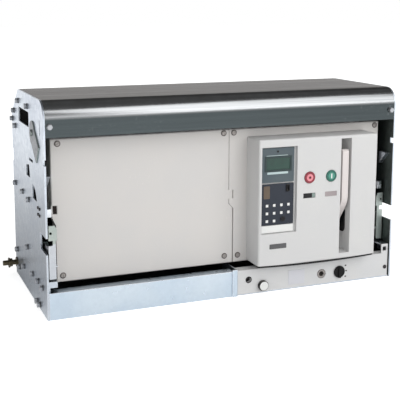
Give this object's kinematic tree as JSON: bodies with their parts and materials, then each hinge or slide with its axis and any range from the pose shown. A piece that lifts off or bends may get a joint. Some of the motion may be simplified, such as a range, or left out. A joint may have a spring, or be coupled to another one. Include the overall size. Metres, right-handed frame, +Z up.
{
  "type": "draw-out air circuit breaker",
  "caption": "Low-voltage draw-out air circuit breaker in a pierced zinc-plated cradle, with a rolled hood, blank cover, raised operator panel, racking panel, rails and rear copper bars.",
  "frame": {"origin": "middle of the cradle's footprint, on its underside", "axes": "+Z up, the operator side faces -Y, +X to the right seen from the front"},
  "size_m": [0.853, 0.427, 0.446],
  "materials": {
    "zinc_plate": "bright zinc plated sheet",
    "hood_sheet": "dark polished sheet",
    "beam_zinc": "blue zinc plated sheet",
    "cover_plastic": "fine moulded grain",
    "steel": "zinc plated",
    "dark_steel": "dark phosphated sheet",
    "panel_paint": "light grey enamel",
    "black_plastic": "moulded",
    "white_plastic": "moulded",
    "moulded_base": "moulded compound",
    "copper": "plain copper bar",
    "brass": "yellow passivated",
    "rail_zinc": "white zinc plated",
    "case_plastic": "moulded compound",
    "chute_moulding": "moulded compound",
    "face_plastic": "fine moulded grain",
    "display_plastic": "moulded",
    "screen_glass": "clear pane over a dark panel",
    "keypad_film": "printed film",
    "flag_beige": "printed flag",
    "handle_plastic": "moulded",
    "red_plastic": "moulded",
    "green_plastic": "moulded"
  },
  "bodies": {
    "cradle": {"left_side_plate": "zinc_plate", "right_side_plate": "zinc_plate", "top_hood": "hood_sheet", "base_plate": "zinc_plate", "front_beam": "beam_zinc", "beam_bracket": "beam_zinc", "racking_panel": "panel_paint", "crank_socket": "steel", "position_dial": "black_plastic", "release_knob": "white_plastic", "left_rail_guide": "dark_steel", "right_rail_guide": "dark_steel", "rail_brackets": "zinc_plate", "rear_base": "moulded_base", "terminal_barriers": "moulded_base", "upper_terminals": "copper", "lower_terminals": "copper", "earth_stud": "brass", "secondary_rail": "steel", "secondary_terminals": "black_plastic", "side_links": "steel"},
    "left_rail": {"left_rail": "rail_zinc"},
    "right_rail": {"right_rail": "rail_zinc"},
    "truck": {"breaker_case": "case_plastic", "mechanism_box": "case_plastic", "pole_barriers": "case_plastic", "left_cheek": "dark_steel", "right_cheek": "dark_steel", "arc_chutes": "chute_moulding", "upper_contacts": "copper", "lower_contacts": "copper", "blank_cover": "cover_plastic", "front_cover": "cover_plastic", "face_housing": "face_plastic", "display_module": "display_plastic", "screen": "screen_glass", "keypad": "keypad_film", "keys": "white_plastic", "setting_strip": "white_plastic", "state_flag": "black_plastic", "charge_flag": "flag_beige", "handle_pin": "steel"},
    "charging_handle": {"charging_handle": "handle_plastic"},
    "off_button": {"off_button": "red_plastic"},
    "on_button": {"on_button": "green_plastic"}
  },
  "joints": [
    {"name": "truck_slide", "type": "slide", "parent": "cradle", "child": "truck", "axis": [0, -1, 0], "range_m": [0, 0.25]},
    {"name": "left_rail_slide", "type": "slide", "parent": "cradle", "child": "left_rail", "axis": [0, -1, 0], "range_m": [0, 0.18]},
    {"name": "right_rail_slide", "type": "slide", "parent": "cradle", "child": "right_rail", "axis": [0, -1, 0], "range_m": [0, 0.18]},
    {"name": "handle_hinge", "type": "hinge", "parent": "truck", "child": "charging_handle", "pos_m": [0.26425, -0.152, 0.124], "axis": [1, 0, 0], "range_deg": [0, 90]},
    {"name": "off_press", "type": "slide", "parent": "truck", "child": "off_button", "axis": [0, 1, 0], "range_m": [0, 0.005], "stiffness_N_per_m": 800},
    {"name": "on_press", "type": "slide", "parent": "truck", "child": "on_button", "axis": [0, 1, 0], "range_m": [0, 0.005], "stiffness_N_per_m": 800}
  ],
  "couplings": [
    {"joint": "left_rail_slide", "follows": "truck_slide", "ratio": 0.72},
    {"joint": "right_rail_slide", "follows": "truck_slide", "ratio": 0.72}
  ]
}
